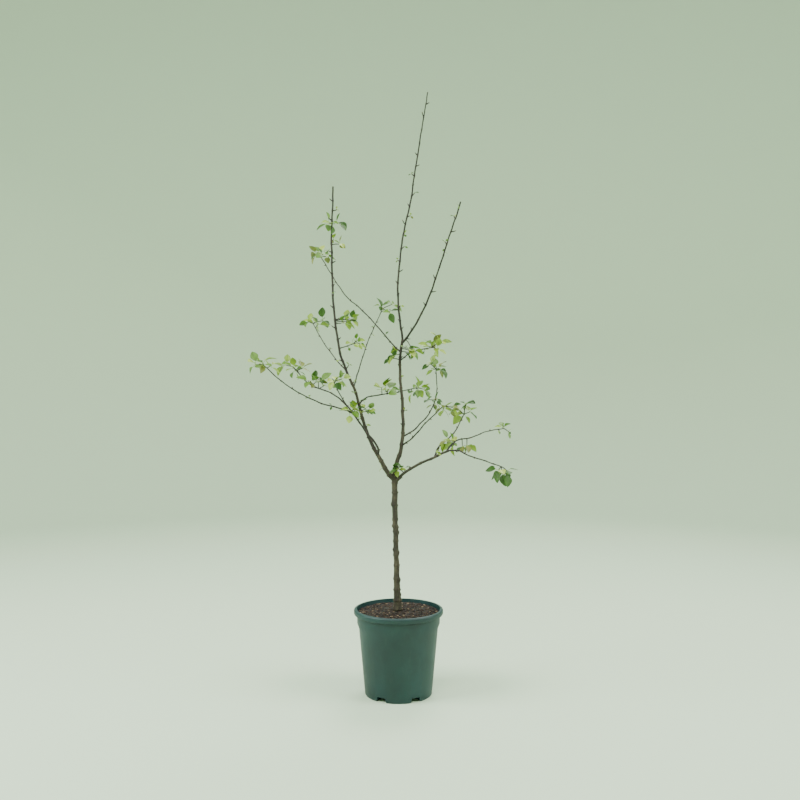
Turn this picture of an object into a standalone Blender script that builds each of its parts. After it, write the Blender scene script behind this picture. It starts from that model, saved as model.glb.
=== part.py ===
"""Young fruit tree in a round nursery pot, in its first spring leaf.

Metres, +Z up. The origin is the centre of the pot's flat underside, and the tree's broad side faces -Y.
The tree is a trunk, tapering limbs that grow from it and from each other, and masses of young leaves.
"""
import math

import bmesh
import bpy
from mathutils import Matrix, Vector, noise
from mathutils.geometry import interpolate_bezier

UP = Vector((0.0, 0.0, 1.0))

# Clearance between solids that touch
GAP = 0.0003

# Points closer than this are one
MERGE = 1e-5

# Pot: a tapering wall with a wider collar and a rolled lip
POT_HEIGHT = 0.211
POT_FOOT_RADIUS = 0.0837
WALL_SLOPE = 0.0915
WALL = 0.002
BASE_THICKNESS = 0.0025
COLLAR_FOOT = 0.163
COLLAR_START = 0.176
COLLAR_TOP = 0.1955
COLLAR_RADIUS = 0.1032
COLLAR_TOP_RADIUS = 0.1036
LIP_RADIUS = 0.1114
LIP_INNER_RADIUS = 0.1043
LIP_UNDERSIDE = 0.1985
LIP_ROUND = 0.004
LIP_EDGE_DROP = 0.0015
EDGE_CHAMFER = 0.001
EDGE_RISE = 0.002
POT_SIDES = 42
SHARP_ANGLE = 35

# Drain channels under the pot, which leave six feet between them
CHANNELS = 6
CHANNEL_WIDTH = 0.023
CHANNEL_HEIGHT = 0.012
CHANNEL_START = 0.050
FOOT_CORNER = 0.007
CHANNEL_CORNER = 0.002
DRAIN_RADIUS = 0.004
DRAIN_PLACE = 0.066
DRAIN_SIDES = 10

# How far cutters run past the pot: above its mouth, below its feet and beyond its lip
ABOVE = 0.02
BELOW = 0.004
BEYOND = 0.01

# Soil: its level at the wall, and its flat crown under the trunk
SOIL_EDGE_LEVEL = 0.2025
SOIL_LEVEL = 0.2040
SOIL_CROWN_RADIUS = 0.02

# Limbs: sides round, length of a stretch, and the collar where a limb leaves its parent
LIMB_SIDES = 8
STRETCH = 0.032
COLLAR_SWELL = 0.35
COLLAR_LENGTH = 0.012
TIP_OVERLAP = 0.002
HIDDEN_SHARE = 0.75

# Masses of leaves: how far their surface wanders from an ellipsoid
UNEVENNESS = 0.45
LUMP_SIZE = 0.8
LUMP_OFFSET = Vector((7.3, 3.1, 5.7))
NEAR = Vector((0.01, 0.01, 0.01))

# The trunk, from its flat cut on the soil to the fork: the points on its centre line and its radii
TRUNK = [
    (-0.002, 0.010, SOIL_LEVEL + GAP),
    (-0.004, 0.010, 0.265),
    (-0.006, 0.009, 0.353),
    (-0.009, 0.007, 0.454),
    (-0.010, 0.006, 0.544),
]
TRUNK_RADII = (0.0100, 0.0076, 0.0065, 0.0064, 0.0072, 0.0072)

# Each limb: its parent, how far up the parent it starts, the points that it passes to its tip,
# its radii at evenly spaced places from foot to tip, and the mass of leaves that its tip enters
LIMBS = {
    "leader_lower": (
        "trunk", 1.0,
        [(-0.005, 0.005, 0.570), (0.008, 0.003, 0.617), (0.011, 0.003, 0.667), (0.008, 0.005, 0.743),
         (0.003, 0.008, 0.825), (0.010, 0.006, 0.884)],
        (0.0060, 0.0048, 0.0040, 0.0037, 0.0034, 0.0033), None,
    ),
    "leader_upper": (
        "leader_lower", 1.0,
        [(0.000, 0.003, 0.962), (-0.001, 0.000, 1.030), (0.010, 0.000, 1.130), (0.030, 0.000, 1.230),
         (0.047, 0.000, 1.342), (0.073, 0.000, 1.501)],
        (0.0028, 0.0023, 0.0021, 0.0018, 0.0013), None,
    ),
    "leader_fork_shoot": (
        "leader_lower", 0.97,
        [(0.028, -0.008, 0.896), (0.061, -0.030, 0.953), (0.089, -0.058, 1.022), (0.112, -0.080, 1.093),
         (0.148, -0.105, 1.203)],
        (0.0026, 0.0022, 0.0019, 0.0017), None,
    ),
    "leader_long_shoot": (
        "leader_lower", 0.905,
        [(-0.013, 0.025, 0.870), (-0.054, 0.050, 0.919), (-0.096, 0.070, 0.965), (-0.138, 0.088, 1.003),
         (-0.211, 0.125, 1.118)],
        (0.0019, 0.0015, 0.0013, 0.0011), "leaves_long_shoot_tip",
    ),
    "leader_top_shoot": (
        "leader_lower", 0.84,
        [(0.020, 0.032, 0.844), (0.040, 0.056, 0.856), (0.088, 0.104, 0.869)],
        (0.0016, 0.0013, 0.0011), "leaves_top_shoot_tip",
    ),
    "leader_back_shoot": (
        "leader_lower", 0.285,
        [(0.038, 0.030, 0.655), (0.078, 0.080, 0.695), (0.098, 0.116, 0.738), (0.102, 0.150, 0.773),
         (0.101, 0.180, 0.815)],
        (0.0020, 0.0017, 0.0013, 0.0011), "leaves_back_shoot_tip",
    ),
    "leader_front_shoot": (
        "leader_lower", 0.22,
        [(0.032, -0.030, 0.636), (0.065, -0.080, 0.676), (0.086, -0.108, 0.697), (0.105, -0.132, 0.717)],
        (0.0020, 0.0017, 0.0014, 0.0012), "leaves_front_shoot_tip",
    ),
    "left_bough_lower": (
        "trunk", 0.965,
        [(-0.024, 0.001, 0.545), (-0.040, -0.004, 0.573), (-0.071, -0.012, 0.631), (-0.091, -0.019, 0.693),
         (-0.107, -0.027, 0.755), (-0.123, -0.029, 0.789)],
        (0.0058, 0.0052, 0.0042, 0.0038, 0.0034, 0.0031), None,
    ),
    "left_bough_upper": (
        "left_bough_lower", 1.0,
        [(-0.142, -0.032, 0.841), (-0.155, -0.032, 0.915), (-0.163, -0.028, 1.014), (-0.165, -0.030, 1.124),
         (-0.161, -0.036, 1.256)],
        (0.0030, 0.0028, 0.0025, 0.0023, 0.0020), None,
    ),
    "left_bough_outer_shoot": (
        "left_bough_upper", 0.035,
        [(-0.152, -0.005, 0.827), (-0.194, 0.045, 0.883), (-0.222, 0.082, 0.930)],
        (0.0014, 0.0012, 0.0010), "leaves_outer_shoot_tip",
    ),
    "left_bough_twig": (
        "left_bough_upper", 0.155,
        [(-0.130, -0.028, 0.864), (-0.112, -0.023, 0.870)],
        (0.0012, 0.0010), "leaves_twig_tip",
    ),
    "left_bough_back_shoot": (
        "left_bough_lower", 0.90,
        [(-0.105, 0.008, 0.790), (-0.094, 0.060, 0.835), (-0.080, 0.110, 0.886), (-0.045, 0.190, 0.978)],
        (0.0017, 0.0014, 0.0012, 0.0010), "leaves_left_back_tip",
    ),
    "left_bough_cross_shoot": (
        "left_bough_lower", 0.735,
        [(-0.091, -0.012, 0.729), (-0.075, 0.003, 0.739), (-0.045, 0.020, 0.745), (-0.015, 0.035, 0.749),
         (0.043, 0.055, 0.762)],
        (0.0018, 0.0014, 0.0012), "leaves_cross_shoot_tip",
    ),
    "left_arm": (
        "left_bough_lower", 0.27,
        [(-0.051, -0.024, 0.614), (-0.079, -0.032, 0.651), (-0.117, -0.032, 0.705), (-0.159, -0.014, 0.744),
         (-0.226, 0.030, 0.772), (-0.269, 0.055, 0.815)],
        (0.0028, 0.0022, 0.0018, 0.0015, 0.0013), "leaves_arm_tip",
    ),
    "left_arm_low_shoot": (
        "left_arm", 0.375,
        [(-0.132, -0.047, 0.708), (-0.191, -0.095, 0.726), (-0.258, -0.150, 0.765), (-0.309, -0.180, 0.811)],
        (0.0019, 0.0016, 0.0013, 0.0012), "leaves_low_shoot_tip",
    ),
    "left_arm_short_shoot": (
        "left_arm", 0.445,
        [(-0.141, -0.038, 0.740), (-0.152, -0.050, 0.761), (-0.160, -0.060, 0.783)],
        (0.0013, 0.0011), "leaves_short_shoot_tip",
    ),
    "right_bough": (
        "trunk", 0.94,
        [(0.012, -0.008, 0.547), (0.035, -0.020, 0.564), (0.064, -0.033, 0.580), (0.093, -0.045, 0.594),
         (0.122, -0.058, 0.608)],
        (0.0042, 0.0034, 0.0030, 0.0027), None,
    ),
    "right_bough_tip": (
        "right_bough", 1.0,
        [(0.145, -0.070, 0.609), (0.173, -0.085, 0.596), (0.208, -0.100, 0.586), (0.243, -0.120, 0.574)],
        (0.0020, 0.0015, 0.0012), "leaves_right_bough_tip",
    ),
    "right_rising_shoot": (
        "right_bough", 0.76,
        [(0.100, -0.020, 0.615), (0.120, 0.005, 0.630), (0.142, 0.030, 0.651), (0.168, 0.060, 0.694)],
        (0.0021, 0.0017, 0.0014, 0.0012), "leaves_rising_shoot_tip",
    ),
    "right_outer_shoot": (
        "right_bough", 0.965,
        [(0.128, -0.050, 0.621), (0.145, -0.035, 0.632), (0.179, -0.015, 0.638), (0.221, 0.010, 0.652),
         (0.266, 0.030, 0.659)],
        (0.0019, 0.0016, 0.0013, 0.0011), "leaves_outer_right_tip",
    ),
}

# Each mass of leaves: its middle and its width, depth and height
MASSES = {
    "leaves_low_shoot_tip": ((-0.311, -0.180, 0.822), (0.066, 0.060, 0.062)),
    "leaves_arm_tip": ((-0.268, 0.055, 0.824), (0.085, 0.062, 0.056)),
    "leaves_arm_middle": ((-0.208, 0.016, 0.774), (0.073, 0.050, 0.043)),
    "leaves_short_shoot_tip": ((-0.150, -0.060, 0.780), (0.038, 0.034, 0.028)),
    "leaves_outer_shoot_tip": ((-0.216, 0.083, 0.938), (0.073, 0.058, 0.042)),
    "leaves_left_bough_middle": ((-0.130, -0.026, 0.929), (0.058, 0.040, 0.030)),
    "leaves_long_shoot_tip": ((-0.207, 0.128, 1.118), (0.055, 0.044, 0.036)),
    "leaves_left_bough_top": ((-0.161, -0.034, 1.173), (0.044, 0.040, 0.052)),
    "leaves_left_bough_spur": ((-0.153, -0.027, 1.123), (0.032, 0.028, 0.025)),
    "leaves_left_back_tip": ((-0.037, 0.190, 0.985), (0.068, 0.056, 0.054)),
    "leaves_cross_shoot_middle": ((-0.034, 0.026, 0.760), (0.048, 0.044, 0.040)),
    "leaves_cross_shoot_tip": ((0.048, 0.056, 0.765), (0.060, 0.048, 0.034)),
    "leaves_leader_right": ((0.028, -0.010, 0.862), (0.036, 0.034, 0.056)),
    "leaves_leader_left": ((-0.009, 0.004, 0.844), (0.032, 0.036, 0.028)),
    "leaves_top_shoot_tip": ((0.097, 0.106, 0.877), (0.058, 0.056, 0.062)),
    "leaves_back_shoot_tip": ((0.100, 0.180, 0.822), (0.050, 0.048, 0.044)),
    "leaves_back_shoot_middle": ((0.092, 0.112, 0.729), (0.040, 0.038, 0.026)),
    "leaves_front_shoot_tip": ((0.115, -0.135, 0.714), (0.062, 0.048, 0.030)),
    "leaves_rising_shoot_tip": ((0.171, 0.064, 0.710), (0.052, 0.054, 0.076)),
    "leaves_rising_shoot_foot": ((0.131, -0.027, 0.634), (0.032, 0.040, 0.038)),
    "leaves_outer_right_middle": ((0.164, -0.024, 0.627), (0.026, 0.030, 0.032)),
    "leaves_outer_right_tip": ((0.273, 0.032, 0.658), (0.030, 0.030, 0.026)),
    "leaves_right_bough_tip": ((0.246, -0.121, 0.574), (0.045, 0.044, 0.044)),
    "leaves_fork": ((0.002, -0.008, 0.565), (0.046, 0.034, 0.027)),
    "leaves_cross_shoot_foot": ((-0.078, -0.016, 0.708), (0.028, 0.032, 0.030)),
    "leaves_arm_foot": ((-0.113, -0.036, 0.712), (0.032, 0.036, 0.050)),
    "leaves_twig_tip": ((-0.105, -0.024, 0.876), (0.036, 0.032, 0.024)),
}

# Finishes: base colour, roughness
FINISHES = {
    "pot_plastic": ((0.035, 0.120, 0.095), 0.45),
    "potting_soil": ((0.050, 0.032, 0.020), 0.95),
    "trunk_bark": ((0.110, 0.095, 0.055), 0.85),
    "limb_bark": ((0.075, 0.062, 0.045), 0.80),
    "young_leaves": ((0.230, 0.400, 0.060), 0.60),
}


def finish(name):
    """The named material, made on first use."""
    material = bpy.data.materials.get(name)
    if material is None:
        colour, roughness = FINISHES[name]
        material = bpy.data.materials.new(name)
        material.use_nodes = True
        shader = material.node_tree.nodes["Principled BSDF"]
        shader.inputs["Base Color"].default_value = (*colour, 1.0)
        shader.inputs["Roughness"].default_value = roughness
        shader.inputs["Metallic"].default_value = 0.0
    return material


def new_object(name, bm, material=None):
    """An object from a bmesh, which is freed. With no material it is a hidden cutter."""
    mesh = bpy.data.meshes.new(name)
    bm.to_mesh(mesh)
    bm.free()
    thing = bpy.data.objects.new(name, mesh)
    bpy.context.scene.collection.objects.link(thing)
    if material:
        mesh.materials.append(finish(material))
    else:
        thing.display_type = "WIRE"
        thing.hide_render = True
    return thing


def cut(thing, tool):
    """Cuts a tool's shape out of a thing."""
    boolean = thing.modifiers.new(tool.name, "BOOLEAN")
    boolean.operation = "DIFFERENCE"
    boolean.solver = "EXACT"
    boolean.object = tool


def smooth_path(points):
    """Points at about one stretch apart along a smooth curve through the given ones."""
    points = [Vector(p) for p in points]
    ends = [points[0] * 2 - points[1], *points, points[-1] * 2 - points[-2]]
    path = [points[0]]
    for before, start, stop, after in zip(ends, ends[1:], ends[2:], ends[3:]):
        span = (stop - start).length
        lead_in = (stop - before).normalized() * span / 3
        lead_out = (after - start).normalized() * span / 3
        steps = max(1, round(span / STRETCH))
        path += interpolate_bezier(start, start + lead_in, stop - lead_out, stop, steps + 1)[1:]
    return path


def distances(path):
    """How far along the path each of its points lies."""
    far = [0.0]
    for a, b in zip(path, path[1:]):
        far.append(far[-1] + (b - a).length)
    return far


def place_along(path, share):
    """The point at a share of the path's length."""
    far = distances(path)
    goal = share * far[-1]
    for k in range(len(path) - 1):
        if far[k + 1] >= goal:
            return path[k].lerp(path[k + 1], (goal - far[k]) / (far[k + 1] - far[k]))
    return path[-1]


def radius_at(radii, share):
    """Radius at a share of a limb's length, from its evenly spaced radii."""
    place = share * (len(radii) - 1)
    k = min(int(place), len(radii) - 2)
    return radii[k] + (radii[k + 1] - radii[k]) * (place - k)


def girths(path, radii, swell):
    """Radius at each point of the path, with a collar at the foot where a limb leaves its parent."""
    far = distances(path)
    return [
        radius_at(radii, s / far[-1]) * (1 + swell * math.exp(-s / COLLAR_LENGTH))
        for s in far
    ]


def ring_frames(path, radii):
    """A matrix for each ring of a tube: its place, its direction and its radius."""
    frames = []
    for k, (point, radius) in enumerate(zip(path, radii)):
        ahead = path[min(k + 1, len(path) - 1)]
        behind = path[max(k - 1, 0)]
        turn = UP.rotation_difference(ahead - behind)
        frames.append(Matrix.LocRotScale(point, turn, Vector((radius, radius, radius))))
    return frames


def tube(frames, sides=LIMB_SIDES):
    """Closed tube made by extruding a disc from ring to ring."""
    bm = bmesh.new()
    bmesh.ops.create_circle(bm, cap_ends=True, segments=sides, radius=1.0, matrix=frames[0])
    foot = end = bm.faces[:]
    for here, there in zip(frames, frames[1:]):
        grown = bmesh.ops.extrude_face_region(bm, geom=end)["geom"]
        verts = [g for g in grown if isinstance(g, bmesh.types.BMVert)]
        bmesh.ops.transform(bm, matrix=there @ here.inverted(), verts=verts)
        if end is not foot:
            bmesh.ops.delete(bm, geom=end, context="FACES_ONLY")
        end = [g for g in grown if isinstance(g, bmesh.types.BMFace)]
    bmesh.ops.recalc_face_normals(bm, faces=bm.faces)
    return bm


def longer(path, extra):
    """The path, run on past both ends."""
    foot = path[0] + (path[0] - path[1]).normalized() * extra
    tip = path[-1] + (path[-1] - path[-2]).normalized() * extra
    return [foot, *path[1:-1], tip]


def limb(name, path, radii, material, swell=0.0, parent_radius=None):
    """A tapering limb whose first ring lies inside its parent, and the slightly larger cutter of its shape."""
    thick = girths(path, radii, swell)
    if parent_radius:
        thick[0] = min(thick[0], parent_radius * HIDDEN_SHARE)
    thing = new_object(name, tube(ring_frames(path, thick)), material)
    room = ring_frames(longer(path, GAP), [r + GAP for r in thick])
    return thing, new_object("room_" + name, tube(room))


def uneven_ball(middle, size, place_in_list, grow=0.0):
    """An ellipsoid with a lumpy surface of its own, larger all round by grow."""
    bm = bmesh.new()
    bmesh.ops.create_icosphere(bm, subdivisions=2, radius=1.0)
    own = LUMP_OFFSET * (place_in_list + 1)
    half = Vector(size) / 2
    for vert in bm.verts:
        lump = 1 + UNEVENNESS * noise.noise(vert.co / LUMP_SIZE + own)
        outward = vert.co.normalized()
        vert.co = Vector(middle) + outward * half * lump + outward * grow
    bmesh.ops.recalc_face_normals(bm, faces=bm.faces)
    return bm


def runs_near(path, middle, size):
    """Whether a limb's path comes within reach of a mass."""
    reach = Vector(size) / 2 * (1 + UNEVENNESS) + NEAR
    for a, b in zip(path, path[1:]):
        for share in (0.0, 0.5):
            away = a.lerp(b, share) - Vector(middle)
            if sum((away[k] / reach[k]) ** 2 for k in range(3)) < 1:
                return True
    return False


def build_tree():
    """Trunk, limbs in growing order, and masses of leaves, each cut clear of what it touches."""
    paths = {"trunk": smooth_path(TRUNK)}
    things, rooms = {}, {}
    things["trunk"], rooms["trunk"] = limb("trunk", paths["trunk"], TRUNK_RADII, "trunk_bark")
    flatten_foot(things["trunk"])
    all_radii = {"trunk": TRUNK_RADII}
    for name, (parent, share, points, radii, _) in LIMBS.items():
        start = place_along(paths[parent], share)
        if share == 1.0:
            tail = (paths[parent][-1] - paths[parent][-2]).normalized()
            start = start - tail * TIP_OVERLAP
        paths[name] = smooth_path([start, *points])
        all_radii[name] = radii
        swell = 0.0 if share == 1.0 else COLLAR_SWELL
        around = radius_at(all_radii[parent], share)
        things[name], rooms[name] = limb(name, paths[name], radii, "limb_bark", swell, around)
        cut(things[name], rooms[parent])
    for number, (name, (middle, size)) in enumerate(MASSES.items()):
        leaves = new_object(name, uneven_ball(middle, size, number), "young_leaves")
        room = new_object("room_" + name, uneven_ball(middle, size, number, GAP))
        for owner, path in paths.items():
            if owner != "trunk" and LIMBS[owner][4] == name:
                cut(things[owner], room)
            elif runs_near(path, middle, size):
                cut(leaves, rooms[owner])


def flatten_foot(trunk):
    """Levels the trunk's foot, which is cut flat on the soil."""
    lowest = sorted(trunk.data.vertices, key=lambda v: v.co.z)[:LIMB_SIDES]
    for vert in lowest:
        vert.co.z = SOIL_LEVEL + GAP


def wall_radius(height):
    """Outer radius of the pot's tapering wall."""
    return POT_FOOT_RADIUS + WALL_SLOPE * height


def outer_profile():
    """Radius and height up the outside of the pot, from the axis to the axis."""
    lip = [
        (LIP_RADIUS - LIP_ROUND * (1 - math.cos(a)), POT_HEIGHT - LIP_ROUND * (1 - math.sin(a)))
        for a in (0.0, math.pi / 6, math.pi / 3, math.pi / 2)
    ]
    return [
        (0.0, 0.0),
        (POT_FOOT_RADIUS - EDGE_CHAMFER, 0.0),
        (POT_FOOT_RADIUS, EDGE_RISE),
        (wall_radius(COLLAR_FOOT), COLLAR_FOOT),
        (COLLAR_RADIUS, COLLAR_START),
        (COLLAR_TOP_RADIUS, COLLAR_TOP),
        (LIP_RADIUS - EDGE_CHAMFER, LIP_UNDERSIDE),
        (LIP_RADIUS, LIP_UNDERSIDE + EDGE_RISE),
        *lip,
        (0.0, POT_HEIGHT),
    ]


def inner_wall(clearance):
    """Radius and height up the inside of the pot's wall, moved in by a clearance."""
    inset = WALL + clearance
    return [
        (wall_radius(BASE_THICKNESS) - inset, BASE_THICKNESS + clearance),
        (wall_radius(COLLAR_FOOT) - inset, COLLAR_FOOT),
        (COLLAR_RADIUS - inset, COLLAR_START),
        (COLLAR_TOP_RADIUS - inset, COLLAR_TOP),
    ]


def turned(profile, sides=POT_SIDES):
    """A closed solid of revolution from a profile that starts and ends on the axis."""
    bm = bmesh.new()
    verts = [bm.verts.new((radius, 0.0, height)) for radius, height in profile]
    edges = [bm.edges.new(pair) for pair in zip(verts, verts[1:])]
    bmesh.ops.spin(
        bm, geom=verts + edges, axis=(0, 0, 1), cent=(0, 0, 0), angle=2 * math.pi, steps=sides, use_merge=True
    )
    bmesh.ops.remove_doubles(bm, verts=bm.verts, dist=MERGE)
    bmesh.ops.recalc_face_normals(bm, faces=bm.faces)
    return bm


def arc(centre, radius, start, stop, steps=2):
    """Points on an arc, angles in degrees."""
    angles = [math.radians(start + (stop - start) * k / steps) for k in range(steps + 1)]
    return [(centre[0] + radius * math.cos(a), centre[1] + radius * math.sin(a)) for a in angles]


def channel_outline(grow):
    """Half of a drain channel's section, sideways and height: straight above, flared at the feet."""
    half = CHANNEL_WIDTH / 2 + grow
    top = CHANNEL_HEIGHT + grow
    foot = arc((half + FOOT_CORNER - grow, FOOT_CORNER - grow), FOOT_CORNER - grow, 270, 180)
    roof = arc((half - CHANNEL_CORNER, top - CHANNEL_CORNER), CHANNEL_CORNER, 0, 90, 1)
    return [(foot[0][0], -BELOW), *foot, *roof]


def channels(grow, start, stop):
    """The drain channels as radial prisms, larger all round by grow."""
    half = channel_outline(grow)
    outline = half + [(-side, height) for side, height in reversed(half)]
    bm = bmesh.new()
    for k in range(CHANNELS):
        turn = Matrix.Rotation(2 * math.pi * (k + 0.5) / CHANNELS - math.pi / 2, 4, "Z")
        verts = [bm.verts.new(turn @ Vector((start, side, height))) for side, height in outline]
        face = bm.faces.new(verts)
        grown = bmesh.ops.extrude_face_region(bm, geom=[face])["geom"]
        moved = [g for g in grown if isinstance(g, bmesh.types.BMVert)]
        bmesh.ops.translate(bm, vec=turn @ Vector((stop - start, 0.0, 0.0)), verts=moved)
    bmesh.ops.recalc_face_normals(bm, faces=bm.faces)
    return bm


def drain_holes():
    """A round hole through the roof of each drain channel."""
    bm = bmesh.new()
    for k in range(CHANNELS):
        turn = Matrix.Rotation(2 * math.pi * (k + 0.5) / CHANNELS - math.pi / 2, 4, "Z")
        place = turn @ Matrix.Translation((DRAIN_PLACE, 0.0, CHANNEL_HEIGHT + WALL / 2))
        bmesh.ops.create_cone(
            bm, cap_ends=True, segments=DRAIN_SIDES, radius1=DRAIN_RADIUS, radius2=DRAIN_RADIUS,
            depth=3 * WALL, matrix=place,
        )
    return bm


def build_pot():
    """The pot's shell, hollowed from a turned solid, with its channels, and the soil in it."""
    beyond = LIP_RADIUS + BEYOND
    housings = new_object("housings", channels(WALL, CHANNEL_START - WALL, beyond))
    mouth = [(LIP_INNER_RADIUS, POT_HEIGHT - LIP_EDGE_DROP), (LIP_INNER_RADIUS, POT_HEIGHT + ABOVE)]
    cavity = [(0.0, BASE_THICKNESS), *inner_wall(0.0), *mouth, (0.0, POT_HEIGHT + ABOVE)]
    hollow = new_object("hollow", turned(cavity))
    cut(hollow, housings)
    pot = new_object("pot", turned(outer_profile()), "pot_plastic")
    cut(pot, hollow)
    cut(pot, new_object("channels", channels(0.0, CHANNEL_START, beyond)))
    cut(pot, new_object("drain_holes", drain_holes()))
    pot.data.shade_smooth()
    pot.data.set_sharp_from_angle(angle=math.radians(SHARP_ANGLE))

    below, above = inner_wall(GAP)[-1], (LIP_INNER_RADIUS - GAP, POT_HEIGHT)
    share = (SOIL_EDGE_LEVEL - below[1]) / (above[1] - below[1])
    edge = (below[0] + (above[0] - below[0]) * share - GAP, SOIL_EDGE_LEVEL)
    crown = [edge, (SOIL_CROWN_RADIUS, SOIL_LEVEL), (0.0, SOIL_LEVEL)]
    soil = new_object(
        "soil", turned([(0.0, BASE_THICKNESS + GAP), *inner_wall(GAP), *crown]), "potting_soil"
    )
    wider = new_object("housings_with_clearance", channels(WALL + GAP, CHANNEL_START - WALL - GAP, beyond))
    cut(soil, wider)


def clear_scene():
    """Removes whatever the scene holds."""
    for thing in list(bpy.data.objects):
        bpy.data.objects.remove(thing, do_unlink=True)


clear_scene()
build_pot()
build_tree()
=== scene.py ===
"""Looks of the potted fruit tree: bark, buds, spurs, young leaves, compost and the plastic pot.

Metres, +Z up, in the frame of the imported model. The camera stands where the photograph was taken from.
"""

import math
import random

import bmesh
import bpy
from mathutils import Matrix, Vector, noise
from mathutils.geometry import interpolate_bezier


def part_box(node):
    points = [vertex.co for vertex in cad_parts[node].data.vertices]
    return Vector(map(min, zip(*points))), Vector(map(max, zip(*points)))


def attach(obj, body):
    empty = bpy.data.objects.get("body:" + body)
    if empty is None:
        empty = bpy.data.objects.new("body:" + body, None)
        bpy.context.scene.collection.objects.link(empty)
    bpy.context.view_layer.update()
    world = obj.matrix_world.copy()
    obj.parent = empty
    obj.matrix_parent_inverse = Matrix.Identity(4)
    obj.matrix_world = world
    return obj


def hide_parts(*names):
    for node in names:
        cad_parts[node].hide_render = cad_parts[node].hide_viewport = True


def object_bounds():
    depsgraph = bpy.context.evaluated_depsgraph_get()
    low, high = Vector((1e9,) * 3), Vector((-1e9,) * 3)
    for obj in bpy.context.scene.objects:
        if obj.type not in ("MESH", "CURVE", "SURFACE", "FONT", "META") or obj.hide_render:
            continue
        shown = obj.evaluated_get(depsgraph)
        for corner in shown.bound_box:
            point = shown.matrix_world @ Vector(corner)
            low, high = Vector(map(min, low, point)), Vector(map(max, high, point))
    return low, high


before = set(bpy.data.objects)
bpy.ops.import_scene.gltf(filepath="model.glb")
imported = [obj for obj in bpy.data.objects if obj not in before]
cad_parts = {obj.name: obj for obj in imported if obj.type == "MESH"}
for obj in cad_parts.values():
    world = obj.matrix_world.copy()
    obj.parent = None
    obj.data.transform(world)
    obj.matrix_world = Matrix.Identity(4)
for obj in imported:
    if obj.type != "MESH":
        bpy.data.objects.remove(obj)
CAD_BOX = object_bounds()

UP = Vector((0.0, 0.0, 1.0))

# Clearance between solids that touch
GAP = 0.0003

# Points closer than this are one
MERGE = 1e-5

# Camera of the photograph, which looks level along +Y
CAMERA_PLACE = (0.0037, -2.15, 0.7313)
CAMERA_TURN = (math.pi / 2, 0.0, 0.0)
FOCAL_PIXELS = 860
PHOTO_WIDTH = 800
SENSOR = 36.0

# Light of the world, and soft square lights: where each stands and its power
WORLD_COLOUR = (0.95, 1.0, 0.98, 1.0)
WORLD_LIGHT = 0.62
LIGHT_SIZE = 1.8
LIGHT_TARGET = Vector((0.0, 0.0, 0.7))
LIGHTS = {
    "left": ((-2.6, -0.8, 2.6), 150.0),
    "right": ((2.6, -0.8, 2.4), 110.0),
    "front": ((-0.6, -2.6, 3.4), 70.0),
    "back": ((0.6, 2.2, 3.4), 90.0),
}

# Floor: a flat disc that curves up into a wall
FLOOR_RADIUS = 3.4
FLOOR_CURVE = 1.6
FLOOR_CURVE_STEPS = 16
FLOOR_WALL_TOP = 7.0
FLOOR_SIDES = 96
FLOOR_COLOUR = (0.57, 0.70, 0.52, 1.0)
FLOOR_ROUGHNESS = 0.9

# Pot: a tapering wall with a wider collar and a rolled lip
POT_HEIGHT = 0.211
POT_FOOT_RADIUS = 0.0837
WALL_SLOPE = 0.0915
WALL = 0.002
BASE_THICKNESS = 0.0025
COLLAR_FOOT = 0.163
COLLAR_START = 0.176
COLLAR_TOP = 0.1955
COLLAR_RADIUS = 0.1032
COLLAR_TOP_RADIUS = 0.1036
LIP_RADIUS = 0.1114
LIP_INNER_RADIUS = 0.1043
LIP_UNDERSIDE = 0.1985
LIP_ROUND = 0.004
LIP_STEPS = 8
LIP_EDGE_DROP = 0.0015
EDGE_CHAMFER = 0.001
EDGE_RISE = 0.002

# Sides of the turned pot, and the angle in degrees past which an edge stays sharp
POT_SIDES = 120
SHARP_ANGLE = 35

# Drain channels under the pot, which leave six feet between them
CHANNELS = 6
CHANNEL_WIDTH = 0.023
CHANNEL_HEIGHT = 0.012
CHANNEL_START = 0.050
CHANNEL_CORNER = 0.002
CHANNEL_CORNER_STEPS = 3
FOOT_CORNER = 0.007
FOOT_CORNER_STEPS = 6
DRAIN_RADIUS = 0.004
DRAIN_PLACE = 0.066
DRAIN_SIDES = 20

# How far cutters run past the pot: above its mouth, below its feet and beyond its lip
ABOVE = 0.02
BELOW = 0.004
BEYOND = 0.01

# Level of the compost at the pot's wall and under the trunk
SOIL_EDGE_LEVEL = 0.2025
SOIL_LEVEL = 0.2040

# Surface of the compost: its sides, its rings, and its flat middle in widths of a ring
COMPOST_SIDES = 96
COMPOST_RINGS = 24
COMPOST_MIDDLE = 1.5

# Relief of the compost: rise to the middle, height and grain of its lumps, and depth of its edge
COMPOST_RISE = 0.0006
COMPOST_RELIEF = 0.0015
COMPOST_GRAIN = 90
COMPOST_DEPTH = 0.02

# Fractal of the lumps: roughness, step from layer to layer, and number of layers
COMPOST_OCTAVES = (0.8, 2.0, 4)

# Chips of bark: their number, their length in metres, and the rest in lengths of the chip
CHIPS = 1500
CHIP_SEED = 7
CHIP_LENGTH = (0.0015, 0.0060)
CHIP_BREADTH = (0.35, 0.8)
CHIP_THICKNESS = (0.12, 0.35)
CHIP_BREAK = 0.12
CHIP_CLEARANCE = 0.7

# How the chips lie: share of the radius, height, tilt, and spin for each turn round the pot
CHIP_FIELD = 0.97
CHIP_LIFT = 0.0008
CHIP_TILT = 0.5
CHIP_SPIN = 3

# Kinds of chip: base colour, and share of them all
CHIP_KINDS = {
    "dark": ((0.012, 0.007, 0.004), 0.50),
    "brown": ((0.050, 0.026, 0.012), 0.43),
    "pale": ((0.260, 0.180, 0.100), 0.07),
}

# Limbs: length of a stretch, and swell and length of the collar where a limb leaves its parent
STRETCH = 0.0035
COLLAR_SWELL = 0.35
COLLAR_LENGTH = 0.012

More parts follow.
